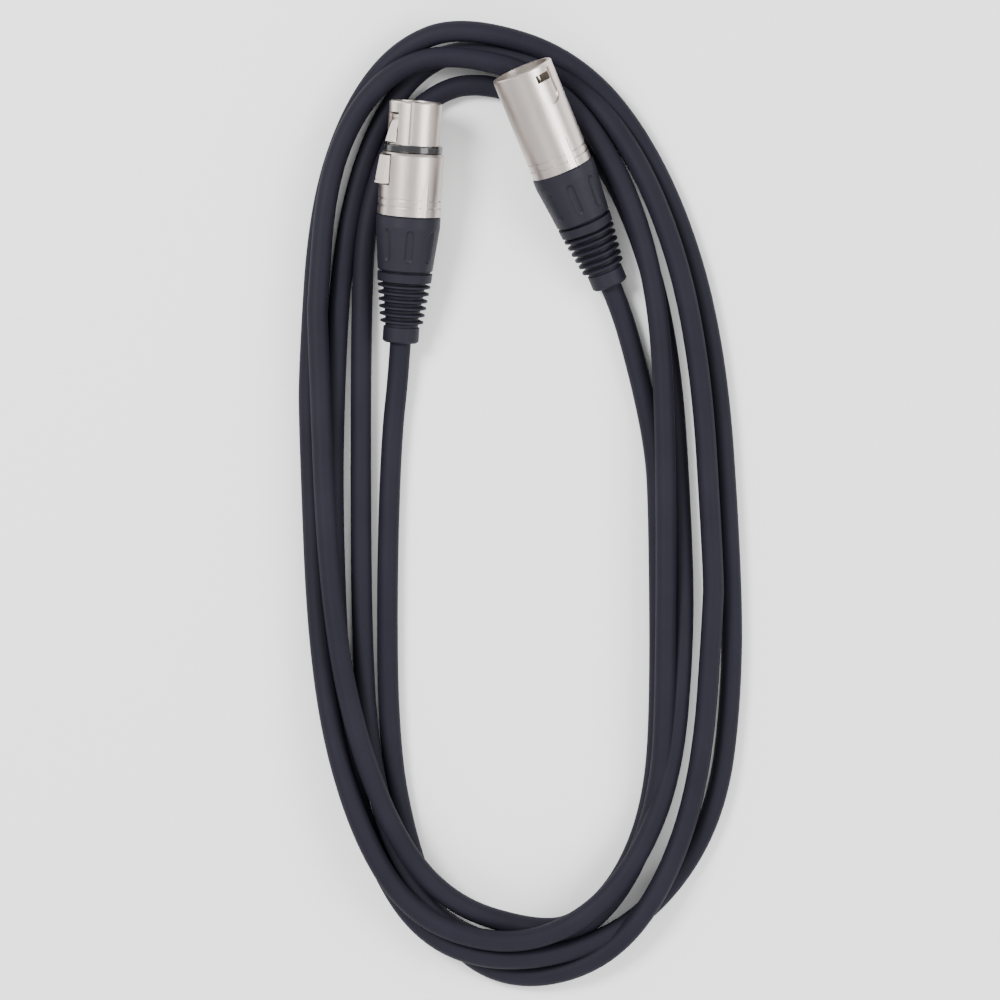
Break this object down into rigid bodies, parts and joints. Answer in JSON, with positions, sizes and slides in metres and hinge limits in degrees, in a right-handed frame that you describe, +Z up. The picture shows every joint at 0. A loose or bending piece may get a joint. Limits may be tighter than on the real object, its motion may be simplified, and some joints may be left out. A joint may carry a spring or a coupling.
{
  "type": "xlr cable coil",
  "caption": "Coiled microphone cable: a long oval coil of dark jacketed lead with a latching socket connector at one end and a pin plug at the other.",
  "frame": {"origin": "on the table under the middle of the coil's box", "axes": "+Y along the coil's length towards the connectors, +X to the right, +Z up from the table"},
  "size_m": [0.1378, 0.2982, 0.0319],
  "materials": {
    "satin_nickel": "satin, fine grain",
    "insert_plastic": "moulded",
    "spring_steel": "bright",
    "collar_plastic": "satin moulded",
    "boot_plastic": "satin moulded",
    "chuck_plastic": "moulded",
    "cable_jacket": "satin extruded",
    "bare_copper": "bare strands",
    "wire_red": "insulation",
    "wire_white": "insulation",
    "ring_rubber": "gloss",
    "contact_metal": "plated"
  },
  "bodies": {
    "root": {"female_shell": "satin_nickel", "female_insert": "insert_plastic", "female_ground_contact": "spring_steel", "female_gland_nut": "collar_plastic", "female_boot": "boot_plastic", "female_chuck": "chuck_plastic", "female_cable_end": "cable_jacket", "female_wire_screen": "bare_copper", "female_wire_hot": "wire_red", "female_wire_cold": "wire_white", "female_lead": "cable_jacket", "male_shell": "satin_nickel", "male_insert": "insert_plastic", "male_ground_contact": "spring_steel", "male_gland_nut": "collar_plastic", "male_boot": "boot_plastic", "male_chuck": "chuck_plastic", "male_cable_end": "cable_jacket", "male_wire_screen": "bare_copper", "male_wire_hot": "wire_red", "male_wire_cold": "wire_white", "male_lead": "cable_jacket", "female_latch_pin": "spring_steel", "female_latch_spring": "spring_steel", "female_seal_ring": "ring_rubber", "cable_coil": "cable_jacket", "female_contact_1": "contact_metal", "female_contact_2": "contact_metal", "female_contact_3": "contact_metal", "male_pin_1": "contact_metal", "male_pin_2": "contact_metal", "male_pin_3": "contact_metal"},
    "latch": {"female_latch": "satin_nickel"}
  },
  "joints": [
    {"name": "latch_press", "type": "hinge", "parent": "root", "child": "latch", "pos_m": [-0.0369, 0.11834, 0.02119], "axis": [0.5769, -0.1745, 0.7979], "range_deg": [0, 4.5], "stiffness_Nm_per_rad": 0.3, "springref_deg": -2.86, "deforming": ["female_latch_spring"]}
  ]
}
